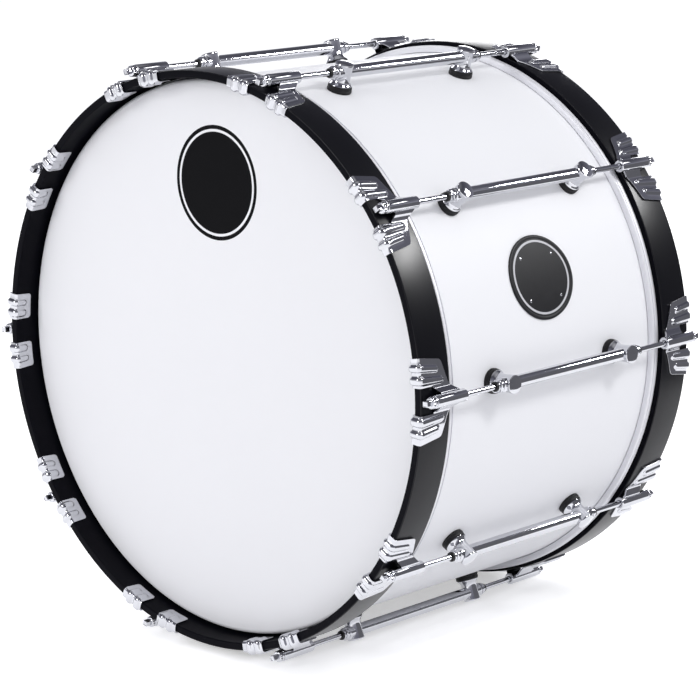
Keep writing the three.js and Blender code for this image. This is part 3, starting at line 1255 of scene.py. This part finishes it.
def makeBadge():
    sizes = badgeSizes
    seat = sizes["seat"]
    field = sizes["field"]
    top = sizes["rimTop"]
    low = field - sizes["sunk"]
    plateRows = [
        (0.04, seat), (0.3, seat), (0.6, seat), (0.93, seat), (0.93, field), (0.8, field),
        (0.6, field), (0.4, field), (0.2, field), (0.04, field),
    ]
    rimRows = [
        (0.905, seat), (0.995, seat), (1.0, seat + 0.3), (1.0, top - 0.5), (0.99, top - 0.15),
        (0.97, top), (0.945, top), (0.93, top - 0.12), (0.92, field + 0.1), (0.905, low),
    ]
    lineRows = [
        (0.825, low), (0.825, field + 0.12), (0.832, field + 0.18), (0.868, field + 0.18),
        (0.875, field + 0.12), (0.875, low),
    ]
    plate = oval("badgePlate", plateRows, finishes["badge"], closed=False)
    placed(plate, "drum_shell", ["badge_plate"])
    placed(oval("badgeRim", rimRows, finishes["badge"]), "drum_shell")
    placed(oval("badgeLine", lineRows, finishes["line"]), "drum_shell")
    rivets = Shape()
    dome = [(sizes["rivetRadius"] * share, height) for share, height in rivetDome]
    for x, y in ((1, 1), (-1, 1), (-1, -1), (1, -1)):
        turn = badgeTurn(sizes["rivetPlace"] * sizes["across"] / 2 * x)
        along = sizes["rivetPlace"] * sizes["along"] / 2 * y
        out = np.array([math.cos(turn), 0, math.sin(turn)])
        side = np.array([-math.sin(turn), 0, math.cos(turn)])
        points, faces = turned(dome, sizes["rivetSides"])
        basis = np.column_stack([side, out, [0, 1, 0]])
        rivets.add(points, faces, turn=basis, shift=out * low + np.array([0, along, drum["axisHeight"]]))
    placed(tidied(rivets.asObject("badgeRivets"), finishes["trim"]), "drum_shell")


makeShell()
print("shell turned")

for side in ("front", "rear"):
    body = f"{side}_end"
    head = spun(f"{side}Head", sided(headSection(), side), finishes["head"], headSizes["stepsRound"])
    placed(head, body, [f"{side}_head"])
    section = sided(channelSection(), side)
    channel = spun(f"{side}FleshHoop", section, finishes["channel"], channelSizes["stepsRound"])
    placed(channel, body, [f"{side}_flesh_hoop"])
    hoop = spun(f"{side}Hoop", sided(hoopSection(), side), finishes["hoop"], hoopSizes["stepsRound"])
    placed(hoop, body, [f"{side}_hoop"])
print("heads and hoops turned")

makeLugs()
print("lugs stationed")

clawShape = makeClawShape()
rodShape = makeRodShape()
ends = {"front": (clawShape, rodShape), "rear": (clawShape.mirrored(), rodShape.mirrored())}
for side, (claw, rod) in ends.items():
    claws = stationed(f"{side}Claws", claw, finishes["chrome"], sharp=clawSizes["sharpAngle"])
    placed(claws, f"{side}_end", numbered(f"claw_{side}"))
    for index, node in enumerate(numbered(f"rod_{side}")):
        piece = stationed(f"{side}Rod{index + 1:02d}", rod, finishes["rodSteel"], stations=1, first=index)
        placed(piece, node, [node])
print("claws and rods stationed")

makeBadge()
print("badge riveted")


# Floor, lamps and world: plain soft studio light on white. These sizes are in metres.
studio = {
    "floorHalf": 60.0,
    "floorLevel": -0.0003,
    "floorColour": (0.88, 0.88, 0.89),
    "floorLift": 0.45,
    "fill": (0.66, 0.665, 0.69),
    "walls": [
        (0.00, (1.0, 1.0, 1.0)),
        (0.52, (1.0, 1.0, 1.0)),
        (0.56, (0.38, 0.38, 0.43)),
        (0.70, (0.19, 0.19, 0.23)),
        (0.86, (0.085, 0.085, 0.105)),
        (1.00, (0.50, 0.50, 0.52)),
    ],
    "panel": {"middle": (0.72, 0.525, 0.0), "half": 0.8, "top": 0.58, "colour": (0.16, 0.16, 0.176)},
    "aim": (0, 0, 0.3),
    "lamps": [
        {"name": "keyLamp", "place": (1.85, 0.0, 1.86), "size": (0.5, 0.5), "power": 17.0},
        {"name": "frontLamp", "place": (-0.6, -3.0, 1.6), "size": (1.2, 1.2), "power": 31.0},
        {"name": "rearLamp", "place": (-1.6, 2.7, 0.9), "size": (1.2, 1.2), "power": 22.0},
        {"name": "leftLamp", "place": (-1.9, 0.2, 1.9), "size": (0.8, 0.8), "power": 9.0},
    ],
    "glossAim": (0.25, -0.19, 0.43),
    "glossLamps": [
        {"name": "glossLamp", "place": (1.414, 1.488, 1.491), "size": (0.7, 0.18), "power": 27.0},
        {"name": "streakLamp", "place": (1.414, 1.488, 1.85), "size": (0.7, 0.26), "power": 3.2},
    ],
}


def addFloor():
    half = studio["floorHalf"]
    low = studio["floorLevel"]
    material = newMaterial("floorWhite")
    bench = Bench(material.node_tree)
    matt = bench.add("ShaderNodeBsdfDiffuse", None, {"Color": (*studio["floorColour"], 1)})
    glow = bench.add("ShaderNodeEmission", None, {"Strength": bench.seen() * studio["floorLift"]})
    both = bench.add("ShaderNodeAddShader", None, {0: matt, 1: glow})
    bench.add("ShaderNodeOutputMaterial", None, {"Surface": both})
    mesh = bpy.data.meshes.new("studioFloor")
    corners = [(-half, -half, low), (half, -half, low), (half, half, low), (-half, half, low)]
    mesh.from_pydata(corners, [], [(0, 1, 2, 3)])
    mesh.materials.append(material)
    floor = newObject("studioFloor", mesh)


# A dark panel beside the drum that only its polished surfaces show
def addPanel():
    panel = studio["panel"]
    material = newMaterial("panelGrey")
    bench = Bench(material.node_tree)
    glow = bench.add("ShaderNodeEmission", None, {"Color": (*panel["colour"], 1)})
    bench.add("ShaderNodeOutputMaterial", None, {"Surface": glow})
    middle = Vector(panel["middle"])
    run = middle.cross(Vector((0.0, 0.0, 1.0))).normalized() * panel["half"]
    rise = Vector((0.0, 0.0, panel["top"]))
    mesh = bpy.data.meshes.new("darkPanel")
    corners = [middle - run, middle + run, middle + run + rise, middle - run + rise]
    mesh.from_pydata(corners, [], [(0, 1, 2, 3)])
    mesh.materials.append(material)
    board = newObject("darkPanel", mesh)
    for kind in ("camera", "diffuse", "transmission", "shadow"):
        setattr(board, f"visible_{kind}", False)


def addLamp(lamp, aim):
    light = bpy.data.lights.new(lamp["name"], "AREA")
    light.shape = "RECTANGLE"
    light.size, light.size_y = lamp["size"]
    light.energy = lamp["power"]
    holder = newObject(lamp["name"], light)
    place = Vector(lamp["place"])
    turn = (Vector(aim) - place).to_track_quat("-Z", "Y").to_matrix().to_4x4()
    holder.matrix_world = Matrix.Translation(place) @ turn
    return holder


# Leaves some pieces out of a lamp's light
def spare(holder, names):
    spared = bpy.data.collections.new(holder.name + "Spares")
    for name in names:
        spared.objects.link(bpy.data.objects[name])
    for entry in spared.collection_objects:
        entry.light_linking.link_state = "EXCLUDE"
    holder.light_linking.receiver_collection = spared


def addLamps():
    for lamp in studio["lamps"]:
        addLamp(lamp, studio["aim"])
    gleams = [addLamp(lamp, studio["glossAim"]) for lamp in studio["glossLamps"]]
    for holder in gleams:
        holder.visible_diffuse = False
    spare(gleams[0], ("frontClaws", "rearClaws"))  # it would burn out the claws' ribs


# The world is a white room to look at, dark above for the metal, and an even fill for its light
def addWorld():
    world = bpy.data.worlds.new("whiteStudio")
    world.use_nodes = True
    bpy.context.scene.world = world
    bench = Bench(world.node_tree)
    height = bench.apart(bench.add("ShaderNodeTexCoord", output=0))[2]
    walls = bench.add("ShaderNodeValToRGB", {"stops": studio["walls"]}, {0: height * 0.5 + 0.5})
    colour = bench.mix(bench.seen(), studio["fill"], walls)
    glow = bench.add("ShaderNodeBackground", None, {"Color": colour, "Strength": 1.0})
    bench.add("ShaderNodeOutputWorld", None, {"Surface": glow})


addFloor()
addPanel()
addWorld()
addLamps()
bpy.context.scene.view_settings.view_transform = "Standard"
print("studio lit")
